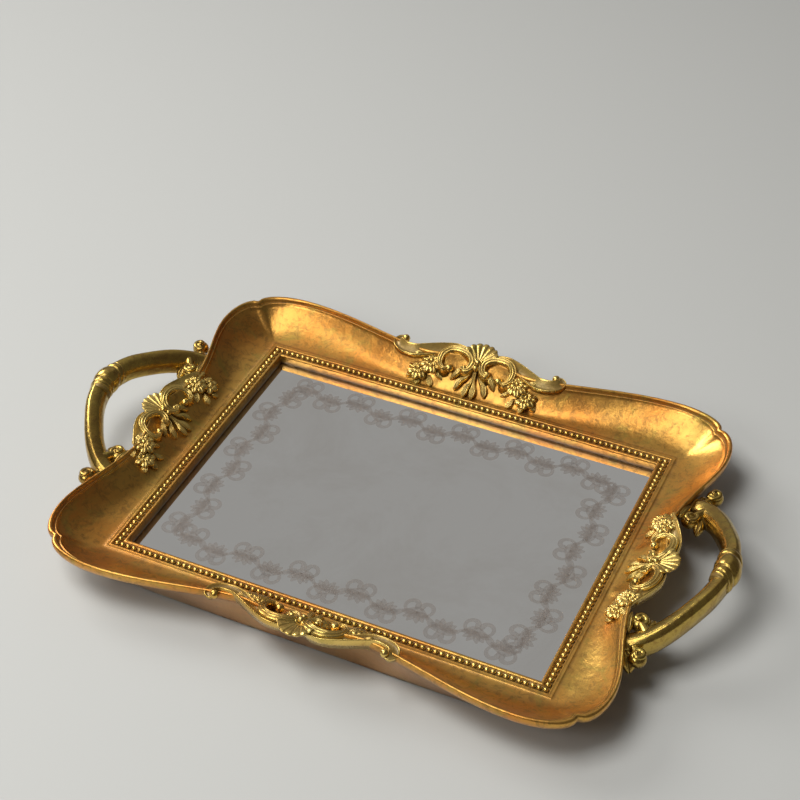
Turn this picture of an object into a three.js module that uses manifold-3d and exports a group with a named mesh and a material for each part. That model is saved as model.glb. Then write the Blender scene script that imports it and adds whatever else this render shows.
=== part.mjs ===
// Mirror vanity tray: a cast resin frame with a scooped rim, a beaded ledge round a mirror, a
// shell crest in the middle of each side, and a loop handle at each end.
// Units are millimetres. +X runs from handle to handle, +Y to the back, +Z up, and the origin
// is on the table under the middle of the tray.
import * as THREE from "three";
import { mergeVertices } from "three/addons/utils/BufferGeometryUtils.js";
import Module from "manifold-3d";

const wasm = await Module();
wasm.setup();

// ---------------------------------------------------------------- driving dimensions
const GAP = 0.3; // air between neighbouring pieces
const SMOOTHING = 0.06; // detail finer than this is dropped from the ornaments

// The stack from the table up: felt, board, cushion, mirror.
const FELT_T = 1;
const BASE_Z = FELT_T + GAP; // underside of the casting and of the board
const BOARD_T = 2.4;
const CUSHION_Z = BASE_Z + BOARD_T + GAP;
const CUSHION_T = 0.7;
const MIRROR_Z = CUSHION_Z + CUSHION_T + GAP;
const MIRROR_T = 2;
const LIP_Z = MIRROR_Z + MIRROR_T + GAP; // underside of the lip that hides the mirror's edge

// Heights of the casting
const LEDGE_Z = 13; // flat ledge that carries the beading
const RIM_Z = 28.5; // top of the outer rim
const WALL_TOP_Z = RIM_Z - 3.5; // where the outer wall meets the rim's roll
const SCOOP_POWER = 1.7; // the scoop is flat near the beading and steep near the rim

// Steps in plan, all measured outwards from the outer line of the ledge
const SIGHT_IN = 6.5; // visible edge of the mirror
const MIRROR_SEAT_IN = 2.5; // wall round the mirror
const BOARD_SEAT_OUT = 3.2; // wall round the board
const BASE_OUT = 12.5; // foot of the outer wall in the middle of a side
const BASE_CORNER_IN = 7; // how much that foot draws in at the corners
const GROOVE_AT = 0.9; // share of the scoop where the rim's roll starts
const ROLL_AT = 0.94;

// Each side of the casting: `half` and `reach` give the ledge's corner, and the rim swells
// from its waist to a lobe near each end, then turns in to the notch where two sides meet.
// In the middle it swells again, by `bump` over `bumpHalf` each way, to carry the crest.
const LONG = {
  half: 125,
  reach: 92,
  waist: 107,
  lobe: 122.5,
  lobeAt: 118,
  hold: 1.15,
  notchAt: 146.5,
  notch: 110.5,
  bump: 8,
  bumpHalf: 40,
  stations: 28,
};
const SHORT = {
  half: 92,
  reach: 125,
  waist: 144,
  lobe: 157.5,
  lobeAt: 89,
  hold: 1.65,
  notchAt: 110.5,
  notch: 146.5,
  bump: 7,
  bumpHalf: 34,
  stations: 22,
};
const SIDES = [
  { name: "back", shape: LONG, turn: 0 },
  { name: "right", shape: SHORT, turn: -Math.PI / 2 },
  { name: "front", shape: LONG, turn: Math.PI },
  { name: "left", shape: SHORT, turn: Math.PI / 2 },
];

const BEAD_PITCH = 3.45;
const BEAD_WIDE = 2.8;
const BEAD_TALL = 1.5;
const BEAD_IN = 2.4; // middle of the row, in from the ledge's outer line

// ---------------------------------------------------------------- solids from points
// A manifold-3d solid from a three.js geometry that is one closed surface.
function solidOf(geometry) {
  const loose = geometry.index ? geometry.toNonIndexed() : geometry;
  const bare = new THREE.BufferGeometry();
  bare.setAttribute("position", loose.getAttribute("position"));
  const merged = mergeVertices(bare, 1e-3);
  const mesh = new wasm.Mesh({
    numProp: 3,
    vertProperties: merged.attributes.position.array,
    triVerts: new Uint32Array(merged.index.array),
  });
  return new wasm.Manifold(mesh);
}

// A closed skin over rings of equally many points. The run of rings either joins up into a
// ring of its own, or is capped at both ends by fans.
function skin(rings, joined) {
  const points = rings.flat();
  const around = rings[0].length;
  const faces = [];
  const last = joined ? rings.length : rings.length - 1;
  for (let i = 0; i < last; i++) {
    const a = i * around;
    const b = ((i + 1) % rings.length) * around;
    for (let j = 0; j < around; j++) {
      const k = (j + 1) % around;
      faces.push(a + j, b + j, b + k, a + j, b + k, a + k);
    }
  }
  if (!joined) {
    const end = points.length - around;
    for (let j = 1; j < around - 1; j++) {
      faces.push(0, j, j + 1, end, end + j + 1, end + j);
    }
  }
  return fromFaces(points, faces);
}

// Faces may all point in; the winding is turned round when the signed volume is negative.
function fromFaces(points, faces) {
  let volume = 0;
  for (let i = 0; i < faces.length; i += 3) {
    const [p, q, r] = [0, 1, 2].map((k) => new THREE.Vector3(...points[faces[i + k]]));
    volume += p.dot(q.cross(r));
  }
  const index = volume < 0 ? [...faces].reverse() : faces;
  const geometry = new THREE.BufferGeometry();
  geometry.setAttribute("position", new THREE.Float32BufferAttribute(points.flat(), 3));
  geometry.setIndex(index);
  return solidOf(geometry);
}

// A rod along a smooth line through the points. half(t) gives its half width and half height.
function rod(points, half, steps, around) {
  const line = new THREE.CatmullRomCurve3(points.map((p) => new THREE.Vector3(...p)));
  const up = new THREE.Vector3(0, 0, 1);
  const rings = [];
  for (let i = 0; i <= steps; i++) {
    const t = i / steps;
    const middle = line.getPoint(t);
    const ahead = line.getTangent(t);
    const across = ahead.clone().cross(up).normalize();
    const rise = across.clone().cross(ahead);
    const [wide, tall] = half(t);
    const ring = [];
    for (let j = 0; j < around; j++) {
      const turn = ((j + 0.5) / around) * 2 * Math.PI;
      const p = middle.clone();
      p.addScaledVector(across, wide * Math.cos(turn));
      p.addScaledVector(rise, tall * Math.sin(turn));
      ring.push(p.toArray());
    }
    rings.push(ring);
  }
  return skin(rings, false);
}

function ball(middle, radius) {
  const geometry = new THREE.OctahedronGeometry(radius, 1);
  geometry.translate(...middle);
  return solidOf(geometry);
}

// A pointed lobe lying from one point to another, as a petal or a leaf does.
function lobe(from, to, wide, tall) {
  const a = new THREE.Vector3(...from);
  const b = new THREE.Vector3(...to);
  const geometry = new THREE.OctahedronGeometry(1, 0);
  geometry.scale(a.distanceTo(b) / 2, wide / 2, tall / 2);
  const turn = new THREE.Matrix4();
  const ahead = b.clone().sub(a).normalize();
  const across = new THREE.Vector3(0, 0, 1).cross(ahead).normalize();
  turn.makeBasis(ahead, across, ahead.clone().cross(across));
  geometry.applyMatrix4(turn);
  geometry.translate(...a.add(b).multiplyScalar(0.5).toArray());
  return solidOf(geometry);
}

// A plate between two heights over a rectangle given by its half sizes.
function plate(halfX, halfY, low, high) {
  const geometry = new THREE.BoxGeometry(2 * halfX, 2 * halfY, high - low);
  geometry.translate(0, 0, (low + high) / 2);
  return solidOf(geometry);
}

// A turned pin standing on z = 0, from [radius, height] pairs that start and end on its axis.
function turned(profile, around) {
  const geometry = new THREE.LatheGeometry(profile.map((p) => new THREE.Vector2(...p)), around);
  return solidOf(geometry.rotateX(Math.PI / 2));
}

const union = (solids) => wasm.Manifold.union(solids);

// The largest body of a solid, without the slivers a cut can leave beside it.
function mainBody(solid) {
  return solid.decompose().reduce((a, b) => (b.volume() > a.volume() ? b : a));
}

const turnedRound = (solid, turn) => solid.rotate([0, 0, (turn * 180) / Math.PI]);

const mirroredAlong = (solid) => solid.mirror([1, 0, 0]);

// ---------------------------------------------------------------- the casting
const swell = (share, hold) => (1 - Math.cos(Math.PI * share ** hold)) / 2;

// How far out the rim stands at a distance along the side from its middle.
function rimReach(side, along) {
  const a = Math.abs(along);
  if (a < side.lobeAt) {
    const bump = side.bump * swell(Math.max(1 - a / side.bumpHalf, 0), 1);
    return side.waist + (side.lobe - side.waist) * swell(a / side.lobeAt, side.hold) + bump;
  }
  const past = Math.min((a - side.lobeAt) / (side.notchAt - side.lobeAt), 1);
  return side.notch + (side.lobe - side.notch) * Math.sqrt(1 - past * past);
}

// A point at share s along the side and share t of the way from the ledge to the rim.
function scoopPoint(side, s, t, z) {
  const out = rimReach(side, s * side.notchAt);
  return [
    s * (side.half + (side.notchAt - side.half) * t),
    side.reach + (out - side.reach) * t,
    z,
  ];
}

const scoopZ = (t) => LEDGE_Z + (RIM_Z - LEDGE_Z) * t ** SCOOP_POWER;

// Height of the scoop under a point of a side.
function groundZ(side, along, out) {
  const t = (out - side.reach) / (rimReach(side, along) - side.reach);
  return scoopZ(Math.min(Math.max(t, 0), 1));
}

// Section of the casting at share s along a side, swollen by `grow` on its outer faces.
function castingSection(side, s, grow) {
  const step = (d, z) => [s * (side.half + d), side.reach + d, z];
  const scoop = [0, 0.25, 0.5, 0.72, GROOVE_AT];
  const foot = step(BASE_OUT - BASE_CORNER_IN * s ** 8 + grow, BASE_Z - grow);
  const brow = scoopPoint(side, s, 1.0, WALL_TOP_Z - grow);
  const wallOut = (u) => brow[1] + (foot[1] - brow[1]) * u ** 0.75 + grow * (1 - u);
  const wallAlong = (u) => brow[0] + (foot[0] - brow[0]) * u ** 0.75;
  const wallZ = (u) => brow[2] + (foot[2] - brow[2]) * u;
  return [
    step(-SIGHT_IN, LIP_Z),
    step(-SIGHT_IN, LEDGE_Z + grow),
    ...scoop.map((t) => scoopPoint(side, s, t, scoopZ(t) + grow)),
    scoopPoint(side, s, ROLL_AT, RIM_Z + grow),
    scoopPoint(side, s, 0.99 + grow / 50, RIM_Z + grow),
    scoopPoint(side, s, 1.02 + grow / 50, RIM_Z - 1.6),
    ...[0, 0.45].map((u) => [wallAlong(u), wallOut(u), wallZ(u)]),
    foot,
    step(BOARD_SEAT_OUT, BASE_Z - grow),
    step(BOARD_SEAT_OUT, CUSHION_Z),
    step(-MIRROR_SEAT_IN, CUSHION_Z),
    step(-MIRROR_SEAT_IN, LIP_Z),
  ];
}

function casting(grow) {
  const rings = [];
  for (const { shape, turn } of SIDES) {
    for (let i = 0; i < shape.stations; i++) {
      const even = -1 + (2 * i) / shape.stations;
      const s = 0.6 * even + 0.4 * Math.sin((Math.PI / 2) * even); // closer near the corners
      const section = castingSection(shape, s, grow);
      const [c, n] = [Math.cos(turn), Math.sin(turn)];
      rings.push(section.map(([a, o, z]) => [a * c - o * n, a * n + o * c, z]));
    }
  }
  return skin(rings, true);
}

// A straight row of beads along one side, on the ledge.
function beadRow(side) {
  const length = 2 * (side.half - BEAD_IN) - 2 * BEAD_WIDE;
  const beads = Math.round(length / BEAD_PITCH);
  const base = LEDGE_Z + GAP;
  const rings = [];
  for (let i = 0; i <= 2 * beads; i++) {
    const full = i % 2 === 1;
    const wide = (full ? BEAD_WIDE : BEAD_WIDE * 0.5) / 2;
    const top = base + (full ? BEAD_TALL : BEAD_TALL * 0.35);
    const at = -length / 2 + (i * length) / (2 * beads);
    const out = side.reach - BEAD_IN;
    rings.push([
      [at, out - wide, base],
      [at, out + wide, base],
      [at, out, top],
    ]);
  }
  return skin(rings, false);
}

// ---------------------------------------------------------------- the crests
// One half of each crest: distance along the side, out from the rim's waist, and height.
// `sprayAlong` moves its sprays away from the middle.
const LONG_CREST = {
  side: LONG,
  scale: 1,
  sprayAlong: 0,
  ear: [
    [33, 2, 29],
    [41, -1.2, 28.5],
    [48, -0.5, 29.2],
    [51.5, 2.8, 30.5],
    [48, 5.8, 31],
  ],
};
const SHORT_CREST = {
  side: SHORT,
  scale: 0.9,
  sprayAlong: 4,
  ear: [
    [29, 1.2, 28.8],
    [33, -0.2, 28.5],
    [35, -0.6, 28.5],
  ],
};

const SCROLL = [
  [6.3, 0.2, 22.5],
  [3, 3.4, 26],
  [6.5, 6.6, 28.4],
  [14.5, 7.8, 29.2],
  [21.5, 4, 27],
  [21.8, -2, 23.5],
  [17.2, -4.4, 21.5],
];
const SCROLL_EYES = [
  [7.2, -0.4, 22.8, 2],
  [15.6, -3, 21.5, 3.2],
];
const BROW = [
  [9, 9, 29],
  [16, 8.2, 29.6],
  [24, 5, 29.4],
];
const PALM_TIPS = [
  [13, -5.5],
  [9, -10],
  [0, -14],
];
const PALM_ROOT = [0, 3, 24.5];
const SHELL = { pinch: [0, 2.5, 26.2], reach: 14.5, spread: 1.15, ribs: 7, rise: 5 };

// A ribbed fan, thin at its pinch and thick at its scalloped edge.
function shell(place, grow) {
  const [, pinchOut, pinchZ] = SHELL.pinch;
  const rings = [];
  const steps = 2 * SHELL.ribs;
  for (let i = 0; i <= steps; i++) {
    const turn = SHELL.spread * ((2 * i) / steps - 1);
    const ridge = i % 2;
    const reach = SHELL.reach * (0.84 + 0.16 * Math.cos(turn) + 0.05 * ridge) + grow;
    const at = (share, z) =>
      place([reach * share * Math.sin(turn), pinchOut + reach * share * Math.cos(turn), pinchZ + z]);
    rings.push([
      at(0.12, 0.8 + grow),
      at(0.6, 0.6 * (SHELL.rise + ridge) + grow),
      at(0.95, SHELL.rise + ridge + grow),
      at(1, SHELL.rise - 1 + ridge),
      at(0.9, 0.8 - grow),
      at(0.12, -2.4 - grow),
    ]);
  }
  return skin(rings, false);
}

function crest(spec, grow) {
  const { side, scale } = spec;
  const outAt = (o) => side.waist + o * scale;
  const place = ([a, o, z]) => [a * scale, outAt(o), RIM_Z + (z - RIM_Z) * scale];
  const brow = [...BROW.map(place), ...spec.ear.map(([a, o, z]) => [a, side.waist + o, z])];
  const swollen = (sizes) => sizes.map((v) => v * scale + grow);
  const half = [
    rod(SCROLL.map(place), (t) => swollen([1.4 + t, 2.6 + 1.4 * t]), 10, 5),
    rod(brow, () => swollen([1.6, 2.4]), 9, 5),
    ball(brow[brow.length - 1], 2.3 * scale + grow),
  ];
  for (const [a, o, z, radius] of SCROLL_EYES) {
    half.push(ball(place([a, o, z]), radius * scale + grow));
  }
  for (const [a, o] of PALM_TIPS) {
    const [along, out] = [a * scale, outAt(o)];
    const tip = [along, out, groundZ(side, along, out) + 1];
    half.push(lobe(place(PALM_ROOT), tip, 5 * scale + 2 * grow, 5 * scale + 2 * grow));
  }
  const body = union(half);
  return union([body, mirroredAlong(body), shell(place, grow)]);
}

// Flowers and leaves of one spray: distance along, out from the waist, and petal length.
const FLOWERS = [
  [27.5, -0.5, 5.6],
  [32.5, -6.5, 6],
];
const LEAF_ROOT = [29, -5];
const LEAF_TIPS = [
  [20, -9],
  [27, -12.5],
  [38, -10.5],
];
const PETALS = 5;

// A spray of two five-petal flowers and three leaves on the scoop beside a crest.
function spray({ side, scale, sprayAlong }) {
  const onScoop = (a, o, lift) => {
    const [along, out] = [a * scale + sprayAlong, side.waist + o * scale];
    return [along, out, groundZ(side, along, out) + lift];
  };
  const parts = [];
  for (const [a, o, size] of FLOWERS) {
    parts.push(ball(onScoop(a, o, 2), 2 * scale));
    for (let i = 0; i < PETALS; i++) {
      const turn = (i / PETALS) * 2 * Math.PI + 0.3;
      const tip = onScoop(a + size * Math.cos(turn), o + size * Math.sin(turn), 1.2);
      parts.push(lobe(onScoop(a, o, 1.4), tip, 4 * scale, 3.4 * scale));
    }
  }
  for (const [a, o] of LEAF_TIPS) {
    parts.push(lobe(onScoop(...LEAF_ROOT, 1.2), onScoop(a, o, 1), 4 * scale, 3.4 * scale));
  }
  return union(parts);
}

// ---------------------------------------------------------------- the handles
// One half of the arch's middle line, from the foot in the casting's wall to the apex.
const HANDLE_LINE = [
  [149, 53.5, 20.5],
  [158, 49.2, 23.6],
  [166.5, 41.2, 27],
  [174.3, 29.6, 31.1],
  [180.9, 16, 34.8],
  [183.8, 0, 36.2],
];
const HANDLE_HALF_WIDE = 4.9;
const HANDLE_HALF_TALL = 6.3;
const COLLAR_HALF_LENGTH = 10;

// The arch from foot to foot, fatter at the feet by `grow` all round.
function arch(grow, steps, around) {
  const back = HANDLE_LINE;
  const front = back.slice(0, -1).reverse().map(([x, y, z]) => [x, -y, z]);
  const half = (t) => {
    const end = Math.abs(2 * t - 1);
    const swellFoot = end ** 6;
    return [HANDLE_HALF_WIDE + swellFoot + grow, HANDLE_HALF_TALL + grow];
  };
  return rod([...back, ...front], half, steps, around);
}

// Volutes at one foot: a ball outside the arch, a curl inside it, and a leaf along the rim.
function footScrolls() {
  return union([
    rod([[154, 51, 23.5], [158, 58, 23], [160.5, 62, 24]], (t) => [3.8 - t, 4 - t], 4, 6),
    ball([160.5, 63, 24], 4.4),
    rod([[160, 49, 26], [158, 42, 26], [153, 40.5, 25]], (t) => [3.8 - t, 4.4 - t], 4, 6),
    ball([152.5, 40.5, 25], 4.2),
  ]);
}

const DOWEL_RADIUS = 1.5;
const DOWEL_LENGTH = 11;
const DOWEL_AT = [148.8, 53, 20.6];
const DOWEL_TILT = 70; // degrees from upright, leaning out towards the handle

const dowel = (radius, length) =>
  turned(
    [
      [0, -length / 2],
      [radius, -length / 2],
      [radius, length / 2],
      [0, length / 2],
    ],
    12,
  )
    .rotate([0, DOWEL_TILT, 0])
    .translate(DOWEL_AT);

const mirroredInY = (solid) => solid.mirror([0, 1, 0]);

// Three rings bound round the middle of the arch.
function collar() {
  const [outer, middle] = HANDLE_LINE.slice(-2);
  const bend = [outer, middle, [outer[0], -outer[1], outer[2]]];
  const share = COLLAR_HALF_LENGTH / outer[1];
  const rings = (t) => {
    const at = Math.abs(2 * t - 1) / share;
    const bulge = 1.6 * Math.abs(Math.cos((at * 3 * Math.PI) / 2));
    return [HANDLE_HALF_WIDE + 1 + bulge, HANDLE_HALF_TALL + 0.8 + bulge * 0.8];
  };
  const whole = rod(bend, rings, 30, 8);
  const slab = solidOf(new THREE.BoxGeometry(60, 2 * COLLAR_HALF_LENGTH, 60).translate(190, 0, 36));
  return whole.intersect(slab);
}

// ---------------------------------------------------------------- the hidden fixings
const SCREW_HEAD_RADIUS = 2.1;
const SCREW_RADIUS = 1.1;
const SCREW_LENGTH = 8;
const SCREW_HEAD_T = 1.5;

// A countersunk wood screw, head down, grown all round when it is used to cut its own hole.
function screw(grow) {
  const head = SCREW_HEAD_RADIUS + grow;
  const shank = SCREW_RADIUS + grow;
  return turned(
    [
      [0, -grow],
      [head, -grow],
      [head, 0.4],
      [shank, SCREW_HEAD_T + grow],
      [shank, SCREW_LENGTH + grow - 1],
      [0, SCREW_LENGTH + grow],
    ],
    12,
  ).translate([0, 0, BASE_Z + 0.2]);
}

const SCREW_LINE_OUT = 0.4; // between the mirror's seat and the board's edge
const SCREWS = [
  ["back_left", -80, LONG.reach + SCREW_LINE_OUT],
  ["back_right", 80, LONG.reach + SCREW_LINE_OUT],
  ["front_left", -80, -LONG.reach - SCREW_LINE_OUT],
  ["front_right", 80, -LONG.reach - SCREW_LINE_OUT],
  ["left", -SHORT.reach - SCREW_LINE_OUT, 0],
  ["right", SHORT.reach + SCREW_LINE_OUT, 0],
];

// ---------------------------------------------------------------- assembly
const LOOKS = {
  gilt: { color: 0xc79a3b, metalness: 0.8, roughness: 0.38 },
  giltLight: { color: 0xdcb65a, metalness: 0.8, roughness: 0.32 },
  mirror: { color: 0xb9bcc0, metalness: 1, roughness: 0.05 },
  board: { color: 0x6b4a30, metalness: 0, roughness: 0.8 },
  foam: { color: 0xd8d6cf, metalness: 0, roughness: 0.9 },
  felt: { color: 0x2a2a2c, metalness: 0, roughness: 0.95 },
  steel: { color: 0x9a9ca0, metalness: 1, roughness: 0.35 },
};

const group = new THREE.Group();

function addNode(name, solid, look) {
  const mesh = solid.getMesh();
  const geometry = new THREE.BufferGeometry();
  const points = new Float32Array(mesh.numVert * 3);
  for (let i = 0; i < mesh.numVert; i++) {
    points.set(mesh.vertProperties.subarray(i * mesh.numProp, i * mesh.numProp + 3), i * 3);
  }
  geometry.setAttribute("position", new THREE.BufferAttribute(points, 3));
  geometry.setIndex(new THREE.BufferAttribute(mesh.triVerts, 1));
  geometry.computeVertexNormals();
  const node = new THREE.Mesh(geometry, new THREE.MeshStandardMaterial(LOOKS[look]));
  node.name = name;
  group.add(node);
}

// Whatever sits on the casting is cut back by these to leave a gap round it.
const castingRoom = casting(GAP);
const beadRoom = plate(LONG.half + GAP, LONG.reach + GAP, 0, LEDGE_Z + BEAD_TALL + 2 * GAP);
const seated = (solid) => {
  const cut = mainBody(solid.subtract(castingRoom).subtract(beadRoom));
  return cut.asOriginal().simplify(SMOOTHING);
};

const dowels = [];
for (const end of ["right", "left"]) {
  for (const place of ["back", "front"]) {
    const turnY = (solid) => (place === "front" ? mirroredInY(solid) : solid);
    const turnX = (solid) => (end === "left" ? mirroredAlong(solid) : solid);
    const whole = turnX(turnY(dowel(DOWEL_RADIUS, DOWEL_LENGTH)));
    const room = turnX(turnY(dowel(DOWEL_RADIUS + GAP, DOWEL_LENGTH + 2 * GAP)));
    dowels.push({ name: "dowel_" + end + "_" + place, whole, room });
  }
}
const dowelRoom = union(dowels.map(({ room }) => room));
const screwAt = (grow) => ([, x, y]) => screw(grow).translate([x, y, 0]);
const screwRoom = union(SCREWS.map(screwAt(GAP)));

addNode("frame_casting", casting(0).subtract(dowelRoom).subtract(screwRoom), "gilt");

const inset = (step) => [LONG.half + step, LONG.reach + step];
addNode(
  "mirror_glass",
  plate(...inset(-MIRROR_SEAT_IN - 0.5), MIRROR_Z, MIRROR_Z + MIRROR_T),
  "mirror",
);
addNode(
  "mirror_cushion",
  plate(...inset(-MIRROR_SEAT_IN - 0.8), CUSHION_Z, CUSHION_Z + CUSHION_T),
  "foam",
);
const board = plate(...inset(BOARD_SEAT_OUT - GAP), BASE_Z, BASE_Z + BOARD_T);
addNode("backing_board", board.subtract(screwRoom), "board");
addNode("base_felt", plate(...inset(BOARD_SEAT_OUT + 1), 0, FELT_T), "felt");

for (const { name, shape, turn } of SIDES) {
  const spec = shape === LONG ? LONG_CREST : SHORT_CREST;
  addNode("beading_" + name, turnedRound(beadRow(shape), turn), "giltLight");
  addNode("crest_" + name, seated(turnedRound(crest(spec, 0), turn)), "giltLight");
  const crestRoom = crest(spec, GAP);
  for (const hand of ["left", "right"]) {
    const whole = spray(spec).subtract(crestRoom);
    const placed = hand === "left" ? mirroredAlong(whole) : whole;
    addNode("spray_" + name + "_" + hand, seated(turnedRound(placed, turn)), "giltLight");
  }
}

const scrolls = footScrolls();
const crestRooms = union([
  turnedRound(crest(SHORT_CREST, GAP), -Math.PI / 2),
  dowelRoom,
]);
const handle = union([arch(0, 24, 8), scrolls, mirroredInY(scrolls)]);
const collarRing = collar().subtract(arch(GAP, 24, 8));
for (const end of ["right", "left"]) {
  const turnX = (solid) => (end === "left" ? mirroredAlong(solid) : solid);
  const fitted = turnX(handle).subtract(turnX(crestRooms)).subtract(dowelRoom);
  addNode("handle_" + end, seated(fitted), "giltLight");
  addNode("handle_collar_" + end, turnX(collarRing), "giltLight");
}

for (const { name, whole } of dowels) {
  addNode(name, whole, "steel");
}
for (const spot of SCREWS) {
  addNode("board_screw_" + spot[0], screwAt(0)(spot), "steel");
}

export default group;
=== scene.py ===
"""Mirror vanity tray: the looks of its antique gilt casting, beading, crests, flower sprays, loop
handles and etched mirror. Shapes are worked out in millimetres and built in metres."""
import math

import bmesh
import bpy
import numpy as np
from mathutils import Matrix, Vector


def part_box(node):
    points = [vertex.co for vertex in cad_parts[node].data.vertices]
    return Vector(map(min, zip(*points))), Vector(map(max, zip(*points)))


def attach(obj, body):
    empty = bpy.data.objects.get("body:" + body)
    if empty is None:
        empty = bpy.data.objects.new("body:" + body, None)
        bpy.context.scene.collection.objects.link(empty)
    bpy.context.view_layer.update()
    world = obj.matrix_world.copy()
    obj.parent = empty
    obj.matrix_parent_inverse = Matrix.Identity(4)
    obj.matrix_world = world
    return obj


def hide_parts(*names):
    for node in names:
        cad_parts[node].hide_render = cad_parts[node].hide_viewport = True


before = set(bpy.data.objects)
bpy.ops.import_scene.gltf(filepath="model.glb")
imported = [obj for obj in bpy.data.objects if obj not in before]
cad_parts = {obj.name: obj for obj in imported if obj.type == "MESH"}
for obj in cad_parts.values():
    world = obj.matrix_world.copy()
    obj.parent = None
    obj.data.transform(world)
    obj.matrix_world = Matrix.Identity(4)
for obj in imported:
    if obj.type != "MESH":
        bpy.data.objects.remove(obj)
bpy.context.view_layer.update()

MM = 0.001
UP = np.array([0.0, 0.0, 1.0])

# ------------------------------------------------------------------ driving dimensions, in mm
LEDGE_Z = 13.0  # ledge that carries the beading
BED_Z = 12.0  # bottom of the channel that the beads sit in
RIM_Z = 28.5  # top of the outer rim
SCOOP_TOP_Z = 25.2  # where the scoop meets the rim's inner line
SCOOP_POWER = 1.7
PANEL_POWER = 1.35  # the plate behind the scrolls rises more evenly
BAND_OUT = 2.6  # outer edge of the flat band beside the beading, from the ledge's outer line
ROLL_IN = 3.2  # where the scoop ends, in from the rim
LIP_Z = 7.3
CUSHION_Z = 4.0
BASE_Z = 1.3
SIGHT_IN = 6.5
MIRROR_SEAT_IN = 2.5
MIRROR_CLEARANCE = 0.5  # air between the mirror and its seat
BOARD_SEAT_OUT = 3.2
BASE_OUT = 12.5
BASE_CORNER_IN = 7.0
MITRE_WIDE = 20.0  # width of the scoop at the mitres
WALL_TOP_Z = 22.2  # top of the outer wall, under the rim
WALL_TOP_IN = 1.1
PANEL_FADE = 6.0  # length over which the plate behind the scrolls turns into scoop

LONG = {
    "half": 125.0, "reach": 92.0, "waist": 107.0, "lobe": 122.5, "lobe_at": 118.0, "hold": 1.15,
    "notch_at": 146.5, "notch": 110.5, "bump": 8.0, "bump_half": 40.0, "panel": 24.0,
    "stations": 220,
}
SHORT = {
    "half": 92.0, "reach": 125.0, "waist": 144.0, "lobe": 157.5, "lobe_at": 89.0, "hold": 1.65,
    "notch_at": 110.5, "notch": 146.5, "bump": 7.0, "bump_half": 34.0, "panel": 21.0,
    "stations": 160,
}
SIDES = [
    ("back", LONG, 0.0),
    ("right", SHORT, -math.pi / 2),
    ("front", LONG, math.pi),
    ("left", SHORT, math.pi / 2),
]

BEAD_PITCH = 3.45
BEAD_RADIUS = 1.5
BEAD_TALL = 1.45
BEAD_LIFT = 0.45  # middle of a bead above its channel
BEAD_IN = 2.4


# ------------------------------------------------------------------ building skins
class Skin:
    """Points in mm with their faces, and the glaze at each point: 0 is bare gold, 1 and more is
    umber, and below 0 the gold thins out until the copper-brown bole shows at -1."""

    def __init__(self):
        self.points = []
        self.faces = []
        self.glaze = []
        self.count = 0

    def add(self, points, faces, glaze=0.0):
        points = np.asarray(points, float).reshape(-1, 3)
        amount = np.asarray(glaze, float).reshape(-1)
        if len(amount) == 1:
            amount = np.full(len(points), amount[0])
        self.points.append(points)
        self.glaze.append(amount)
        self.faces.extend(tuple(int(i) + self.count for i in face) for face in faces)
        self.count += len(points)

    def join(self, other, change=lambda points: points):
        self.add(change(np.vstack(other.points)), other.faces, np.concatenate(other.glaze))


def loft(skin, rings, glaze=0.0, joined=False):
    """A closed skin over rings of points, joined into a loop or capped at both ends."""
    count, around = rings.shape[:2]
    faces = []
    for i in range(count if joined else count - 1):
        a = i * around
        b = (i + 1) % count * around
        for j in range(around):
            k = (j + 1) % around
            faces.append((a + j, b + j, b + k, a + k))
    if not joined:
        faces.append(range(around))
        faces.append(range(count * around - 1, (count - 1) * around - 1, -1))
    skin.add(rings, faces, glaze)


def smooth_line(points, steps):
    """Points at even steps along a Catmull-Rom curve through the given ones."""
    p = np.asarray(points, float)
    p = np.vstack([2 * p[0] - p[1], p, 2 * p[-1] - p[-2]])
    where = np.linspace(0, len(points) - 1, steps + 1)
    i = np.minimum(where.astype(int), len(points) - 2)
    t = (where - i)[:, None]
    a, b, c, d = p[i], p[i + 1], p[i + 2], p[i + 3]
    square = (2 * a - 5 * b + 4 * c - d) * t**2
    cube = (3 * b - a - 3 * c + d) * t**3
    return 0.5 * (2 * b + (c - a) * t + square + cube)


def unit(vectors):
    return vectors / np.maximum(np.linalg.norm(vectors, axis=-1, keepdims=True), 1e-9)


def sweep(skin, line, section):
    """A rod along a line. section(share) gives rows of (across, rise, glaze)."""
    ahead = unit(np.gradient(line, axis=0))
    across = unit(np.cross(ahead, UP))
    rise = np.cross(across, ahead)
    sections = np.array([section(share) for share in np.linspace(0, 1, len(line))])
    rings = line[:, None, :] + sections[..., :1] * across[:, None, :]
    rings = rings + sections[..., 1:2] * rise[:, None, :]
    loft(skin, rings, sections[..., 2])


def oval(wide, tall, around=12):
    turn = np.arange(around) / around * 2 * math.pi
    return np.stack([wide * np.cos(turn), tall * np.sin(turn), np.zeros(around)], axis=1)


def moulding(wide, tall, grooves, sink, depth=0.4):
    """Section of a crowned strip with grooves cut along its face and a foot sunk below it."""
    u = np.linspace(-1, 1, 17)
    crown = tall * np.sqrt(np.maximum(1 - np.abs(u) ** 3, 0))
    cut = sum(np.exp(-(((u - groove) / 0.13) ** 2)) for groove in grooves) + 0 * u
    top = np.stack([u * wide, crown - depth * tall * cut, cut], axis=1)
    foot = np.array([[0.92 * wide, -sink, 0.4], [-0.92 * wide, -sink, 0.4]])
    return np.vstack([top, foot])


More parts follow.
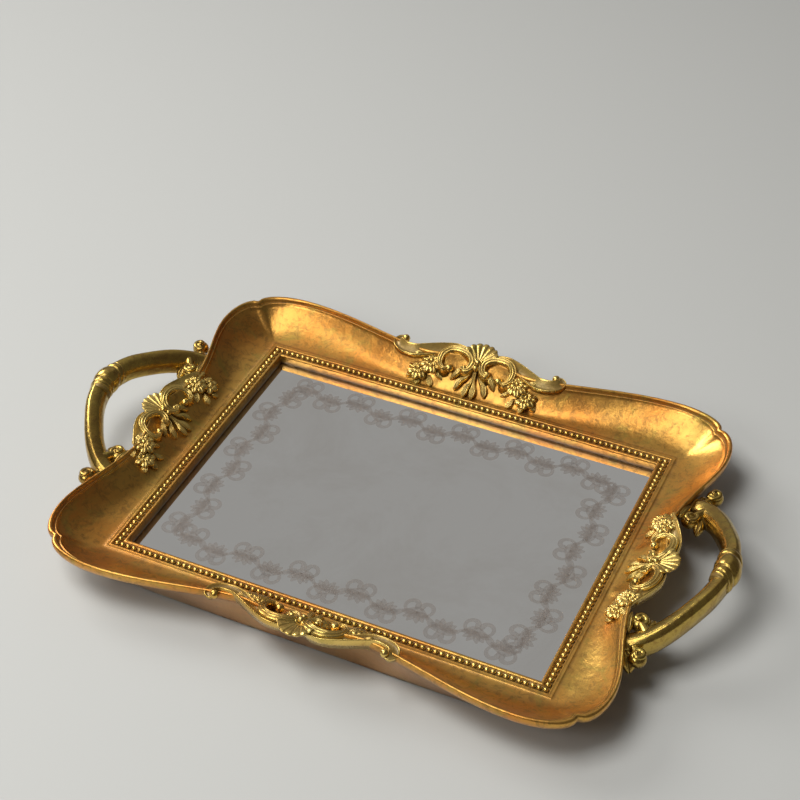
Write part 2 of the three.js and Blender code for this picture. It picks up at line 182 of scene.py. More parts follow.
def ball(skin, middle, radius, tall=None, rows=8, around=14):
    """A rounded knob, squashed when its height is given."""
    tall = radius if tall is None else tall
    rise = np.linspace(-0.49, 0.49, rows + 1) * math.pi
    turn = np.arange(around) / around * 2 * math.pi
    rings = np.empty((rows + 1, around, 3))
    rings[..., 0] = middle[0] + radius * np.cos(rise)[:, None] * np.cos(turn)
    rings[..., 1] = middle[1] + radius * np.cos(rise)[:, None] * np.sin(turn)
    rings[..., 2] = middle[2] + tall * np.sin(rise)[:, None]
    loft(skin, rings)


def leaf(skin, points, wide, tall, grooves=(0.0,), steps=10, fullest=0.5):
    """A leaf or petal lying along a line, pointed at both ends and veined along its face."""

    def section(share):
        power = math.log(0.5) / math.log(fullest)
        full = math.sin(math.pi * (0.07 + 0.86 * share**power))
        return moulding(wide / 2 * full, tall * full**0.7, grooves, 1.2)

    sweep(skin, smooth_line(points, steps), section)


def curl(middle, radius, start, sweep_angle, steps, rise, inner):
    """Points of a spiral that closes in on its middle from a starting angle, in radians, and ends
    at a share of its first radius."""
    share = np.linspace(0, 1, steps)
    reach = radius * (1 - (1 - inner) * share)
    turn = start + sweep_angle * share
    return np.stack(
        [
            middle[0] + reach * np.cos(turn),
            middle[1] + reach * np.sin(turn),
            middle[2] + rise * share,
        ],
        axis=1,
    )


def turned(points, turn):
    """Turns (along, out, z) of one side into the tray's own frame."""
    c, s = math.cos(turn), math.sin(turn)
    along, out, z = np.asarray(points, float).T
    return np.stack([along * c - out * s, along * s + out * c, z], axis=1)


def mirrored_x(points):
    return points * [-1, 1, 1]


def mirrored_y(points):
    return points * [1, -1, 1]


def make_piece(name, skin, material, slot, *replaced):
    """A mesh object in metres that rides on the tray and stands for the CAD nodes it replaces."""
    points = np.vstack(skin.points) * MM
    mesh = bpy.data.meshes.new(name)
    mesh.from_pydata(points.tolist(), [], [list(face) for face in skin.faces])
    work = bmesh.new()
    work.from_mesh(mesh)
    bmesh.ops.recalc_face_normals(work, faces=work.faces)
    work.to_mesh(mesh)
    work.free()
    glaze = mesh.attributes.new("glaze", "FLOAT", "POINT")
    glaze.data.foreach_set("value", np.concatenate(skin.glaze))
    mesh.polygons.foreach_set("use_smooth", [True] * len(mesh.polygons))
    mesh.materials.append(material)
    piece = bpy.data.objects.new(name, mesh)
    bpy.context.scene.collection.objects.link(piece)
    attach(piece, "root")
    if replaced:
        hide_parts(*replaced)
    return piece


# ------------------------------------------------------------------ the casting's shape
def swell(share, hold):
    return (1 - np.cos(math.pi * np.clip(share, 0, 1) ** hold)) / 2


def rim_reach(side, along):
    """How far out the rim stands at a distance along the side from its middle."""
    a = np.abs(np.asarray(along, float))
    bump = side["bump"] * swell(1 - a / side["bump_half"], 1)
    rise = (side["lobe"] - side["waist"]) * swell(a / side["lobe_at"], side["hold"])
    past = np.clip((a - side["lobe_at"]) / (side["notch_at"] - side["lobe_at"]), 0, 1)
    lobe = side["notch"] + (side["lobe"] - side["notch"]) * np.sqrt(1 - past**2)
    return np.where(a < side["lobe_at"], side["waist"] + rise + bump, lobe)


def scoop_z(share):
    return LEDGE_Z + (SCOOP_TOP_Z - LEDGE_Z) * np.clip(share, 0, 1) ** SCOOP_POWER


def ground_z(side, along, out):
    """Height of the scoop under a point of a side."""
    width = rim_reach(side, along) - side["reach"]
    share = (out - side["reach"] - BAND_OUT) / (width - ROLL_IN - BAND_OUT)
    return float(scoop_z(share))


def casting_rings(side):
    """Sections of one side of the casting as (along, out, z), and the glaze on each point."""
    even = np.linspace(-1, 1, side["stations"], endpoint=False)
    s = 0.55 * even + 0.45 * np.sin(math.pi / 2 * even)  # closer together near the corners
    out = rim_reach(side, s * side["notch_at"])
    corner = s**12
    wide = (out - side["reach"]) * (1 - corner) + MITRE_WIDE * corner
    section = []

    def step(d, z, glaze=0.0):
        section.append((s * (side["half"] + d), side["reach"] + d + 0 * s, z + 0 * s, glaze))

    def across(t, z, glaze=0.0):
        along = s * (side["half"] + (side["notch_at"] - side["half"]) * t)
        section.append((along, side["reach"] + (out - side["reach"]) * t, z + 0 * s, glaze))

    # behind the crest's scrolls the rim's inner lines give way to a smooth panel
    panel = swell((side["panel"] + PANEL_FADE / 2 - np.abs(s) * side["notch_at"]) / PANEL_FADE, 1)

    # the sight edge, the lip inside the beads, their channel, and the flat band outside them
    for d, z, glaze in [
        (-6.5, LIP_Z, 1), (-6.5, 9.0, 0.6), (-6.5, 11.6, 0), (-6.42, 12.5, 0), (-6.2, 12.85, 0),
        (-5.8, 13.0, 0), (-5.2, 13.0, 0), (-4.75, 12.85, 0.1), (-4.5, 12.4, 0.8), (-4.35, BED_Z, 1),
        (-2.4, BED_Z, 1), (-0.55, BED_Z, 1), (-0.4, 12.6, 0.9), (-0.2, 13.15, 0.2), (0.1, 13.4, 0),
        (0.45, 13.32, 0.05), (1.0, 13.2, 0.15), (1.6, 13.32, 0.05), (2.0, 13.42, 0),
        (2.3, 13.25, 0.3),
    ]:
        step(d, z, glaze)
    first = BAND_OUT / wide
    last = 1 - ROLL_IN / wide
    for share in np.linspace(0, 1, 20):
        glaze = 0.7 * math.exp(-((share / 0.05) ** 2))
        plate = scoop_z(share ** (PANEL_POWER / SCOOP_POWER))
        height = scoop_z(share) + (plate - scoop_z(share)) * panel
        across(first + (last - first) * share, height, glaze)
    # the rim: a thin inner line, a groove, the roll, its tall outer face, and the step below it
    for inward, z, glaze in [
        (3.05, 25.75, 0), (2.8, 26.05, 0), (2.5, 26.0, 0.1), (2.32, 25.7, 1), (2.15, 26.0, 0.8),
        (2.0, 26.9, 0.1), (1.7, 27.75, 0), (1.25, 28.3, 0), (0.75, 28.5, 0), (0.25, 28.3, 0),
        (-0.1, 27.7, 0), (-0.25, 26.8, 0), (-0.2, 25.6, 0), (0.0, 24.5, 0), (0.35, 23.4, 0.1),
        (0.75, 22.7, 0.6), (1.15, 22.4, 1),
    ]:
        smooth_z = SCOOP_TOP_Z + (RIM_Z - SCOOP_TOP_Z) * (ROLL_IN - inward) / (ROLL_IN - 0.75)
        height = np.where(inward > 0.75, z + (smooth_z - z) * panel, z)
        across(1 - inward / wide, height, glaze * (1 - panel) if inward > 0.75 else glaze)
    # the outer wall down to the foot, and the seats under the tray
    top_share = 1 - WALL_TOP_IN / wide
    top_out = side["reach"] + (out - side["reach"]) * top_share
    top_along = s * (side["half"] + (side["notch_at"] - side["half"]) * top_share)
    foot = BASE_OUT - BASE_CORNER_IN * s**8
    foot_out = side["reach"] + foot
    foot_along = s * (side["half"] + foot)
    for u in np.linspace(0.04, 1, 10):
        lean = u**0.75
        along = top_along + (foot_along - top_along) * lean
        reach = top_out + (foot_out - top_out) * lean
        # down the wall the gold thins to the bole; the last row and the foot's edge turn darker
        # towards the bottom
        wall_glaze = 0.5 * u**3 if u > 0.9 else -1
        height = WALL_TOP_Z + (BASE_Z + 0.4 - WALL_TOP_Z) * u
        section.append((along, reach, height + 0 * s, wall_glaze))
    section.append((s * (side["half"] + foot - 0.5), foot_out - 0.5, BASE_Z + 0 * s, 1))
    for d, z in [
        (BOARD_SEAT_OUT, BASE_Z), (BOARD_SEAT_OUT, CUSHION_Z), (-MIRROR_SEAT_IN, CUSHION_Z),
        (-MIRROR_SEAT_IN, LIP_Z),
    ]:
        step(d, z, 1)
    rings = np.array([[a, o, z] for a, o, z, _ in section]).transpose(2, 0, 1)
    glaze = np.array([g + 0 * s for *_, g in section]).T
    return rings, glaze


def build_casting(material):
    skin = Skin()
    rings, glazes = [], []
    for _, side, turn in SIDES:
        local, glaze = casting_rings(side)
        rings.append(turned(local.reshape(-1, 3), turn).reshape(local.shape))
        glazes.append(glaze)
    loft(skin, np.vstack(rings), np.vstack(glazes), joined=True)
    make_piece("gilt_casting", skin, material, "frame_gilding", "frame_casting")


# ------------------------------------------------------------------ beading
def build_beading(material):
    """A row of round beads on each side, every one a little different in size and place."""
    chance = np.random.default_rng(7)
    for name, side, turn in SIDES:
        half = side["half"] - BEAD_IN
        beads = round(2 * half / BEAD_PITCH)
        skin = Skin()
        for i in range(beads):
            along = -half + (i + chance.normal(0, 0.03)) * 2 * half / beads
            radius = BEAD_RADIUS * (1 + chance.normal(0, 0.025))
            ball(skin, (along, side["reach"] - BEAD_IN, BED_Z + BEAD_LIFT), radius, BEAD_TALL, 7, 12)
        whole = Skin()
        whole.join(skin, lambda points, turn=turn: turned(points, turn))
        make_piece("beads_" + name, whole, material, "ornament_gilding", "beading_" + name)


# ------------------------------------------------------------------ crests
# One half of each crest: distance along the side, out from the rim's waist, and height.
SCROLL = [
    (8.7, -0.2, 24.2), (7.9, -2.0, 23.4), (5.4, -1.8, 23.2), (3.6, 0.6, 24.4), (3.7, 3.9, 26.6),
    (7.0, 6.9, 28.4), (12.6, 8.3, 29.0), (18.2, 7.3, 28.6), (21.9, 3.6, 27.0), (22.6, -0.4, 25.0),
    (21.4, -3.4, 23.4), (18.8, -4.8, 22.6), (16.4, -4.0, 22.8),
]
INNER_EYE = (7.2, -0.4, 24.4, 1.6)
OUTER_EYE = (15.6, -3.0, 23.2, 2.5)
BROW = [(4, 8.2, 27.0), (9, 9.6, 28.0), (16, 9.4, 28.8), (23.5, 6.4, 28.8)]
LONG_EAR = [
    (31, 2.6, 28.6), (38.5, -0.8, 28.3), (45.5, -0.8, 28.4), (50.4, 1.6, 28.8), (51.6, 5.0, 29.0),
    (49.8, 7.2, 29.0), (47.6, 6.2, 29.0),
]
SHORT_CREST_SCALE = 0.9
SHORT_SPRAY_SHIFT = 4.0
SHORT_EAR = [(29, 1.6, 28.8), (33, -0.2, 28.5), (35, -0.9, 28.4)]
PALM = [
    [(1.4, 2.8, 26.4), (5.4, -0.8), (9.6, -2.0), (13.6, -5.8)],
    [(1.0, 1.8, 25.8), (4.0, -3.6), (7.4, -6.4), (9.4, -10.6)],
    [(0.3, 1.2, 25.4), (0.8, -5.0), (2.2, -9.4), (2.6, -14.0)],
]
PALM_WIDE = 4.1
PALM_TALL = 1.9
SPRING_BEAD = (1.9, 4.6, 27.6, 1.2)
MIDDLE_KNOBS = [((0, 3.0, 27.4), 2.0, 2.2), ((0, -0.4, 25.8), 1.7, 2.0)]
SHELL_PINCH = (0, 3.2, 26.6)
SHELL_REACH = 13.6
SHELL_SPREAD = 1.12
SHELL_RIBS = 7
SHELL_RISE = 4.6
SHELL_RIB_HEIGHT = 0.9
SHELL_DROOP = 5.6  # how steeply the last tenth of the fan turns down
SHELL_NARROW = 0.26  # share of its reach that the fan loses towards its sides
SHELL_SCALLOP = 0.03  # share of its reach that the edge draws in between ribs


def build_shell(skin, place):
    """A fluted fan, thin and low at its pinch, rising to a scalloped edge."""
    _, pinch_out, pinch_z = SHELL_PINCH
    turns = np.linspace(-1, 1, SHELL_RIBS * 8 + 1)
    shares = np.array([0.04, 0.2, 0.4, 0.6, 0.78, 0.9, 0.97, 1.0])
    rib = np.abs(np.cos(turns * SHELL_RIBS * math.pi / 2))
    rings = []
    glazes = []
    for turn, ridge in zip(turns * SHELL_SPREAD, rib):
        lobe = ridge**0.7
        narrowed = (1 - SHELL_NARROW) + SHELL_NARROW * math.cos(turn)
        reach = SHELL_REACH * narrowed * ((1 - SHELL_SCALLOP) + SHELL_SCALLOP * lobe)
        ring = []
        glaze = []
        for share in shares:
            dome = SHELL_RISE * share**0.8 - SHELL_DROOP * max(share - 0.9, 0)
            height = dome + SHELL_RIB_HEIGHT * share**0.7 * lobe
            ring.append((share * reach, height))
            glaze.append((1 - ridge) ** 3)
        for share in shares[::-1]:
            ring.append((share * reach * 0.97, SHELL_RISE * share**0.8 - 1.6 - 1.2 * (1 - share)))
            glaze.append(0.8)
        points = [
            place((r * math.sin(turn), pinch_out + r * math.cos(turn), pinch_z + z))
            for r, z in ring
        ]
        rings.append(points)
        glazes.append(glaze)
    loft(skin, np.array(rings), np.array(glazes))


def ribbon_section(wide, tall):
    """A bright line along the inner edge, and a dark cove rising from it to a thin outer edge."""
    profile = np.array(
        [
            (0.80, -3.4, 0.6), (1.02, -1.6, 0.2), (1.06, -0.9, 0.0), (0.94, -0.5, 0.0),
            (0.80, -0.8, 0.6), (0.66, -1.3, 1.2), (0.40, -1.5, 1.1), (0.10, -1.3, 1.0),
            (-0.20, -0.8, 1.0), (-0.50, 0.0, 0.9), (-0.75, 0.9, 0.5), (-0.88, 1.4, 0.0),
            (-0.98, 1.5, 0.0), (-1.08, 1.2, 0.0), (-1.10, -1.0, 0.1), (-0.80, -4.0, 0.4),
        ]
    )
    return profile * [wide, tall, 1]


def build_crest(name, side, turn, scale, ear, material):
    def place(point):
        a, o, z = point
        return (a * scale, side["waist"] + o * scale, RIM_Z + (z - RIM_Z) * scale)

    def on_scoop(a, o, lift):
        along, out = a * scale, side["waist"] + o * scale
        return (along, out, ground_z(side, along, out) + lift)

    half = Skin()
    scroll = smooth_line([place(p) for p in SCROLL], 72)

    def scroll_section(share):
        ends = min(share / 0.12, (1 - share) / 0.1, 1)
        wide = (1.5 + 1.3 * math.sin(math.pi * min(share * 1.1, 1))) * (0.5 + 0.5 * ends)
        return moulding(wide * scale, 2.3 * scale, (-0.35, 0.35), 5.5 * scale, 0.5)

    sweep(half, scroll, scroll_section)
    for eye in (INNER_EYE, OUTER_EYE):
        ball(half, place(eye[:3]), eye[3] * scale)
    brow = [place(p) for p in BROW] + [(a, side["waist"] + o, z) for a, o, z in ear]
    long_ear = len(ear) > 3

    def brow_section(share):
        full = math.sin(math.pi * min(share * 1.02, 1)) ** 0.7
        if long_ear:
            return ribbon_section(0.9 + 2.3 * full, 0.7 + 0.7 * full)
        return ribbon_section(0.8 + 1.9 * full, 0.6 + 0.6 * full)

    sweep(half, smooth_line(brow, 60), brow_section)
    if long_ear:
        tip = brow[-1]
        ball(half, (tip[0], tip[1], tip[2] - 0.4), 2.4, 2.5)
    for root, bend, middle, tip in PALM:
        line = [
            place(root), on_scoop(*bend, 3.6 * scale), on_scoop(*middle, 3.2 * scale),
            on_scoop(*tip, 1.2 * scale),
        ]
        leaf(half, line, PALM_WIDE * scale, PALM_TALL * scale, (-0.45, 0.0, 0.45), 18, 0.76)
    # a small bead where the scrolls spring
    ball(half, place(SPRING_BEAD[:3]), SPRING_BEAD[3] * scale)

    whole = Skin()
    for change in (lambda p: p, mirrored_x):
        whole.join(half, lambda points, change=change: turned(change(points), turn))
    middle = Skin()
    build_shell(middle, place)
    for at, radius, tall in MIDDLE_KNOBS:
        ball(middle, place(at), radius * scale, tall * scale)
    whole.join(middle, lambda points: turned(points, turn))
    make_piece("crest_carving_" + name, whole, material, "ornament_gilding", "crest_" + name)


# ------------------------------------------------------------------ flower sprays
# Distance along the side, out from the waist, petal length and petal count.
FLOWERS = [(27.0, -2.0, 7.4, 8), (34.0, -5.8, 7.0, 7)]
FLOWER_TILT = 0.35  # how steeply a flower leans with the scoop
FLOWER_LAYERS = [(1.0, 1.0), (0.6, 2.0)]  # reach of the petals, as a share, and their lift
PETAL_FULLNESS = 5.4
LEAVES = [
    [(24.5, -3), (21.5, -5.0), (18.6, -7.2)],
    [(27, -7), (25.4, -10.0), (24.0, -12.6)],
    [(32, -9), (32.6, -11.0), (33.0, -13.6)],
    [(36, -7), (38.5, -8.4), (40.6, -10.0)],
    [(34, 0), (37.0, -0.2), (39.6, -1.6)],
]


def build_spray(name, side, turn, scale, along_shift, hand, material):
    """Layered daisies with button centres, and serrated leaves, lying on the scoop."""

    def on_scoop(a, o, lift):
        along, out = a * scale + along_shift, side["waist"] + o * scale
        return (along, out, ground_z(side, along, out) + lift)

    skin = Skin()
    for a, o, size, petals in FLOWERS:
        middle = np.array(on_scoop(a, o, 0))

        def on_flower(far, turn_to, lift, middle=middle):
            step_along, step_out = far * math.cos(turn_to), far * math.sin(turn_to)
            return middle + np.array([step_along, step_out, lift + FLOWER_TILT * step_out]) * scale

        for layer, (reach, lift) in enumerate(FLOWER_LAYERS):
            for i in range(petals):
                turn_to = (i + 0.5 * layer) / petals * 2 * math.pi + 0.3
                far = reach * size
                line = [
                    on_flower(0.15 * far, turn_to, lift + 0.5),
                    on_flower(0.6 * far, turn_to, lift + 0.6),
                    on_flower(far, turn_to, lift - 0.2),
                ]
                wide = PETAL_FULLNESS * far / petals * scale
                leaf(skin, line, wide, 1.1 * scale, (0.0,), 6, 0.62)
        ball(skin, on_flower(0, 0, 2.8), 0.2 * size * scale, 0.16 * size * scale)
    for path in LEAVES:
        line = [on_scoop(a, o, 1.2 - 0.2 * i) for i, (a, o) in enumerate(path)]
        leaf(skin, line, 4.2 * scale, 1.3 * scale, (-0.5, 0.0, 0.5), 12, 0.55)
    change = mirrored_x if hand == "left" else (lambda p: p)
    whole = Skin()
    whole.join(skin, lambda points: turned(change(points), turn))
    label = name + "_" + hand
    make_piece("flowers_" + label, whole, material, "ornament_gilding", "spray_" + label)


# ------------------------------------------------------------------ handles
HANDLE_LINE = [
    (149, 52.5, 18.5), (158, 48.6, 22.2), (166.3, 41.0, 26.5), (174.0, 29.6, 30.7),
    (180.6, 16, 34.5), (183.4, 0, 36),
]
# Corners of the arch's section: a ridge along the top, slanting faces, and upright lower faces.
HANDLE_SECTION = [
    (-1.8, 6.6), (-4.9, 4.4), (-5.5, -0.6), (-4.7, -6.0), (-1.8, -7.2), (3.2, -7.0), (5.2, -5.4),
    (5.6, 0.4), (3.4, 4.4),
]
COLLAR_HALF = 10.0
COLLAR_WIDE = 5.6
COLLAR_TALL = 6.6
# At the foot of an arch: stalks that end in volutes, and leaves as a line, a width, a height and
# the share of the line where the leaf is fullest.
FOOT_STALKS = [
    [(150.0, 49.5, 19.5), (154.5, 55.0, 20.6), (158.0, 60.0, 21.6)],
    [(159.0, 47.5, 23.4), (156.0, 44.0, 23.6), (152.6, 40.0, 23.0)],
]
FOOT_VOLUTES = [  # middle, radius, and the angles that the roll starts from and sweeps
    ((158.8, 61.6, 22.8), 4.8, -2.4, 6.4),
    ((152.2, 39.6, 23.4), 5.0, 0.9, -6.4),
]
FOOT_LEAVES = [
    ([(150.5, 57, 21), (154.0, 60.5, 18.0), (156, 64.5, 14.0)], 8.4, 3.0, 0.5),
    ([(149.5, 49, 24.5), (148.0, 43, 25.6), (147.0, 37, 26.4)], 4.0, 2.0, 0.5),
    ([(156.0, 43, 24.0), (157.6, 38.4, 22.6), (157.6, 33.4, 19.6)], 6.0, 2.6, 0.6),
]


def bevelled_outline(corners, bevel=0.24):
    """The outline through the corners with each one cut back to a small round."""
    p = np.asarray(corners, float)
    before = p + (np.roll(p, 1, axis=0) - p) * bevel
    after = p + (np.roll(p, -1, axis=0) - p) * bevel
    crown = 0.25 * before + 0.5 * p + 0.25 * after
    return np.stack([before, crown, after], axis=1).reshape(-1, 2)


def build_arch(skin):
    front = [(x, -y, z) for x, y, z in HANDLE_LINE[-2::-1]]
    line = smooth_line(HANDLE_LINE + front, 120)
    outline = bevelled_outline(HANDLE_SECTION)

    def section(share):
        end = abs(2 * share - 1)
        widening = 0.92 + 0.3 * end**3
        no_glaze = 0 * outline[:, :1]
        return np.hstack([outline * [widening, 1.0], no_glaze])

    sweep(skin, line, section)


def collar_bulge(at):
    """Swell of the collar at a place along it: a fat middle ring between two thin ones."""
    middle = np.sqrt(np.clip(1 - (at / 4.2) ** 2, 0, 1)) * 1.7
    thin = np.sqrt(np.clip(1 - ((np.abs(at) - 6.2) / 1.7) ** 2, 0, 1)) * 1.0
    edge = np.sqrt(np.clip(1 - ((np.abs(at) - 8.9) / 1.0) ** 2, 0, 1)) * 0.6
    return np.maximum(np.maximum(middle, thin), edge)


def build_collar(skin):
    outer, apex = HANDLE_LINE[-2:]
    bend = [outer, apex, (outer[0], -outer[1], outer[2])]
    line = smooth_line(bend, 160)
    inside = np.abs(line[:, 1]) <= COLLAR_HALF
    line = line[inside]
    around = 32
    turn = np.arange(around) / around * 2 * math.pi

    def section(share):
        at = (2 * share - 1) * COLLAR_HALF
        lean = at + 1.8 * np.sin(turn + 0.6)
        bulge = collar_bulge(lean)
        glaze = np.clip(1 - bulge * 2.2, 0, 1)
        wide = (COLLAR_WIDE + bulge) * np.cos(turn)
        tall = (COLLAR_TALL + bulge * 0.75) * np.sin(turn)
        return np.stack([wide, tall, glaze], axis=1)

    sweep(skin, line, section)


def build_foot(skin):
    """Two rolled volutes at one foot, one each side of the arch, and three leaves under them."""
    for stalk in FOOT_STALKS:
        sweep(skin, smooth_line(stalk, 16), lambda share: oval(3.6 - share, 4.8 - share, 12))
    for middle, radius, start, sweep_angle in FOOT_VOLUTES:
        ball(skin, middle, radius, 0.85 * radius)
        x, y, z = middle
        roll = curl((x, y, z + 0.55 * radius), 0.8 * radius, start, sweep_angle, 60, 1.3, 0.1)
        sweep(skin, roll, lambda share: oval(1.5, 1.2, 8))
    for line, wide, tall, fullest in FOOT_LEAVES:
        leaf(skin, line, wide, tall, (0.0,), 12, fullest)


def build_handles(material):
    foot = Skin()
    build_foot(foot)
    arch = Skin()
    build_arch(arch)
    arch.join(foot)
    arch.join(foot, mirrored_y)
    ring = Skin()
    build_collar(ring)
    for end, change in (("right", lambda p: p), ("left", mirrored_x)):
        loop = Skin()
        loop.join(arch, change)
        make_piece("loop_handle_" + end, loop, material, "handle_gilding", "handle_" + end)
        bound = Skin()
        bound.join(ring, change)
        make_piece("bound_collar_" + end, bound, material, "handle_gilding", "handle_collar_" + end)


# ------------------------------------------------------------------ the mirror's lace border
LACE_IN = 18.0  # middle of the lace, in from the visible edge of the mirror
LACE_WAVE = 35.0  # length of one wave of the stem
LACE_SWING = 4.6  # how far the stem swings to each side
LACE_LEAF = 8.0  # length of a leaf
LACE_LIFT = 0.03  # how far the print stands off the glass


def flat_ribbon(skin, line, widths, z):
    """A flat strip on the glass along a line of (x, y), with a width at each point."""
    ahead = unit(np.gradient(line, axis=0))
    across = np.stack([-ahead[:, 1], ahead[:, 0]], axis=1) * widths[:, None] / 2
    edges = np.stack([line + across, line - across], axis=1)
    points = np.dstack([edges, np.full(edges.shape[:2], z)])
    faces = [(2 * i, 2 * i + 1, 2 * i + 3, 2 * i + 2) for i in range(len(line) - 1)]
    skin.add(points, faces)


def build_lace(material, sight, z):
    """A waving stem with tendrils and leaves on alternate sides, round the mirror."""
    skin = Skin()
    for (_, side, turn), half, reach in zip(SIDES, sight, sight[1:] + sight[:1]):
        half = half - LACE_IN
        base = reach - LACE_IN
        waves = round(2 * half / LACE_WAVE)
        x = np.linspace(-half, half, waves * 24 + 1)
        swing = LACE_SWING * np.sin((x + half) / (2 * half) * waves * 2 * math.pi)
        strips = [(np.stack([x, base + swing], axis=1), 3.0 + 1.2 * np.cos(x * 0.6))]
        for i in range(2 * waves):
            at = -half + (i + 0.5) * half / waves
            hand = 1 if i % 2 == 0 else -1
            top = base + hand * LACE_SWING
            for flip in (1, -1):
                share = np.linspace(0, 1, 30)
                reach_in = 5.6 * (1 - 0.8 * share)
                angle = hand * (-math.pi / 2 + 5.6 * share)
                tendril = np.stack(
                    [
                        at + flip * (3.2 + reach_in * np.cos(angle)),
                        top + hand * 2.2 + reach_in * np.sin(angle),
                    ],
                    axis=1,
                )
                strips.append((tendril, 1.6 + 2.0 * share))
                for lean in (0.35, 0.8, 1.25):
                    share = np.linspace(0, 1, 12)
                    petal = np.stack(
                        [
                            at + flip * LACE_LEAF * share * math.sin(lean),
                            top - hand * LACE_LEAF * share * math.cos(lean) - hand * 1.5,
                        ],
                        axis=1,
                    )
                    strips.append((petal, 0.8 + 3.2 * np.sin(math.pi * share)))
        for layer, (line, widths) in enumerate(strips):
            local = Skin()
            flat_ribbon(local, line, np.asarray(widths) + 0 * line[:, 0], z + 0.002 * (layer % 5))
            skin.join(local, lambda points, turn=turn: turned(points, turn))
    make_piece("mirror_lace", skin, material, "mirror")


# ------------------------------------------------------------------ materials
def new_material(name):
    material = bpy.data.materials.new(name)
    material.use_nodes = True
    nodes = material.node_tree.nodes
    shader = nodes["Principled BSDF"]
    return material, nodes, material.node_tree.links, shader


def noise(nodes, links, scale, detail=4.0, rough=0.6, distortion=0.0, stretch=(1, 1, 1)):
    where = nodes.new("ShaderNodeTexCoord")
    place = nodes.new("ShaderNodeMapping")
    place.inputs["Scale"].default_value = stretch
    texture = nodes.new("ShaderNodeTexNoise")
    texture.inputs["Scale"].default_value = scale
    texture.inputs["Detail"].default_value = detail
    texture.inputs["Roughness"].default_value = rough
    texture.inputs["Distortion"].default_value = distortion
    links.new(where.outputs["Object"], place.inputs["Vector"])
    links.new(place.outputs["Vector"], texture.inputs["Vector"])
    return texture.outputs["Fac"]


def ramp(nodes, links, value, low, high, low_out=0.0, high_out=1.0):
    node = nodes.new("ShaderNodeMapRange")
    node.inputs["From Min"].default_value = low
    node.inputs["From Max"].default_value = high
    node.inputs["To Min"].default_value = low_out
    node.inputs["To Max"].default_value = high_out
    links.new(value, node.inputs["Value"])
    return node.outputs["Result"]


def arithmetic(nodes, links, operation, a, b):
    node = nodes.new("ShaderNodeMath")
    node.operation = operation
    node.use_clamp = True
    for socket, value in zip(node.inputs, (a, b)):
        if isinstance(value, (int, float)):
            socket.default_value = value
        else:
            links.new(value, socket)
    return node.outputs["Value"]


def blend_colours(nodes, links, factor, first, second):
    node = nodes.new("ShaderNodeMix")
    node.data_type = "RGBA"
    colours = [socket for socket in node.inputs if socket.type == "RGBA"]
    for socket, value in zip(colours, (first, second)):
        if isinstance(value, tuple):
            socket.default_value = (*value, 1)
        else:
            links.new(value, socket)
    links.new(factor, node.inputs["Factor"])
    return next(socket for socket in node.outputs if socket.type == "RGBA")


OLIVE = (0.46, 0.36, 0.07)
WORN = (0.30, 0.15, 0.035)
BOLE = (0.60, 0.35, 0.16)
UMBER_AND_SHADE = (0.075, 0.042, 0.014)


def gilt(name, pale, deep, wear, roughness, grain, reach):
    """Antique gold leaf over red-brown bole: mottled, rubbed through to the bole, with a dark brown
    glaze where the glaze mark asks for it, and painted shade from ambient occlusion in recesses as
    narrow as the reach, in metres."""
    material, nodes, links, shader = new_material(name)
    mottle = ramp(nodes, links, noise(nodes, links, 16, 3, 0.5, 0.3), 0.38, 0.62)
    speckle = noise(nodes, links, 900, 3, 0.7)
    colour = blend_colours(nodes, links, mottle, deep, pale)
    olive = ramp(nodes, links, noise(nodes, links, 60, 6, 0.7, 0.8), 0.52, 0.68, 0, 0.7)
    colour = blend_colours(nodes, links, olive, colour, OLIVE)
    flecks = noise(nodes, links, 210, 6, 0.75, 0.6)
    rub = ramp(nodes, links, flecks, 0.51 - wear, 0.64 - wear, 0, 0.6)
    colour = blend_colours(nodes, links, rub, colour, WORN)
    # the bole shows through where the gold thins; umber glaze fills the grooves, and painted shade
    # darkens the colour by ambient occlusion wherever neighbouring faces close in
    marks = nodes.new("ShaderNodeAttribute")
    marks.attribute_name = "glaze"
    thin = ramp(nodes, links, marks.outputs["Fac"], 0.0, -1.0, 0.0, 0.8)
    colour = blend_colours(nodes, links, thin, colour, BOLE)
    closed = nodes.new("ShaderNodeAmbientOcclusion")
    closed.samples = 6
    closed.inputs["Distance"].default_value = reach
    # painted shade: the occlusion is turned into a darkening towards umber in recesses
    painted_shade = ramp(nodes, links, closed.outputs["AO"], 0.25, 0.75, 0.8, 0.0)
    painted = arithmetic(nodes, links, "MULTIPLY", marks.outputs["Fac"], 0.75)
    umber_and_shade = arithmetic(nodes, links, "MAXIMUM", painted_shade, painted)
    broken = ramp(nodes, links, speckle, 0.3, 0.6, 0.75, 1.0)
    umber_and_shade = arithmetic(nodes, links, "MULTIPLY", umber_and_shade, broken)
    # the colour darkens to umber from the glaze mark and from the painted shade
    colour = blend_colours(nodes, links, umber_and_shade, colour, UMBER_AND_SHADE)
    links.new(colour, shader.inputs["Base Color"])
    metal = ramp(nodes, links, umber_and_shade, 0.0, 1.0, 1.0, 0.35)
    links.new(metal, shader.inputs["Metallic"])
    gloss = ramp(nodes, links, flecks, 0.3, 0.7, roughness - 0.03, roughness + 0.07)
    rough = arithmetic(nodes, links, "ADD", gloss, arithmetic(nodes, links, "MULTIPLY", umber_and_shade, 0.3))
    links.new(rough, shader.inputs["Roughness"])
    fine = nodes.new("ShaderNodeBump")
    fine.inputs["Strength"].default_value = grain
    fine.inputs["Distance"].default_value = 0.0001
    links.new(speckle, fine.inputs["Height"])
    broad = nodes.new("ShaderNodeBump")
    broad.inputs["Strength"].default_value = 0.35
    broad.inputs["Distance"].default_value = 0.0011
    links.new(noise(nodes, links, 110, 4, 0.6), broad.inputs["Height"])
    links.new(fine.outputs["Normal"], broad.inputs["Normal"])
    links.new(broad.outputs["Normal"], shader.inputs["Normal"])
    shader.inputs["Coat Weight"].default_value = 0.35
    shader.inputs["Coat Roughness"].default_value = 0.3
    return material


